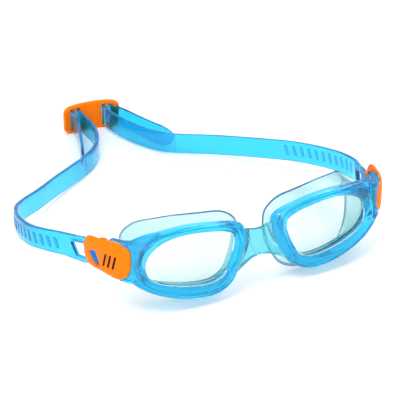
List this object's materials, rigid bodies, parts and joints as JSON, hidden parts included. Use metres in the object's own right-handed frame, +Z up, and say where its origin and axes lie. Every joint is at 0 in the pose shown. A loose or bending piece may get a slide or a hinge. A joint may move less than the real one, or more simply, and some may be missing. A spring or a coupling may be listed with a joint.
{
  "type": "swim goggles",
  "caption": "Swim goggles with clear lenses, translucent rims, soft face skirts, a nose bridge, side clips and a flat strap run through a rear adjuster.",
  "frame": {"origin": "centre of the bounding box in plan, on the table", "axes": "+Y from the lenses to the rear adjuster, +X to the left-hand side of the wearer, +Z up"},
  "size_m": [0.17, 0.2022, 0.0409],
  "materials": {
    "blue_frame": "translucent blue, glossy",
    "aqua_bridge": "translucent aqua, soft gloss",
    "clear_lens": "clear, polished",
    "soft_skirt": "clear with a faint aqua tint, soft gloss",
    "orange_plastic": "opaque orange, satin gloss",
    "blue_strap": "translucent blue, soft gloss"
  },
  "bodies": {
    "root": {"left_frame": "blue_frame", "right_frame": "blue_frame", "nose_bridge": "aqua_bridge", "left_lens": "clear_lens", "right_lens": "clear_lens", "left_skirt": "soft_skirt", "right_skirt": "soft_skirt", "left_clip": "orange_plastic", "right_clip": "orange_plastic", "left_strap_run": "blue_strap", "right_strap_run": "blue_strap"},
    "left_strap_end": {"left_strap_tab": "blue_strap"},
    "right_strap_end": {"right_strap_tab": "blue_strap"},
    "adjuster": {"strap_adjuster": "orange_plastic", "left_strap_tail": "blue_strap", "right_strap_tail": "blue_strap"}
  },
  "joints": [
    {"name": "left_strap_swivel", "type": "hinge", "parent": "root", "child": "left_strap_end", "pos_m": [-0.06818, -0.07763, 0.0265], "axis": [0, 0, -1], "range_deg": [-1.5, 18]},
    {"name": "right_strap_swivel", "type": "hinge", "parent": "root", "child": "right_strap_end", "pos_m": [0.07622, -0.07763, 0.0265], "axis": [0, 0, 1], "range_deg": [-1.5, 18]},
    {"name": "adjuster_slide", "type": "slide", "parent": "root", "child": "adjuster", "axis": [0, 1, 0], "range_m": [0, 0.02]}
  ]
}
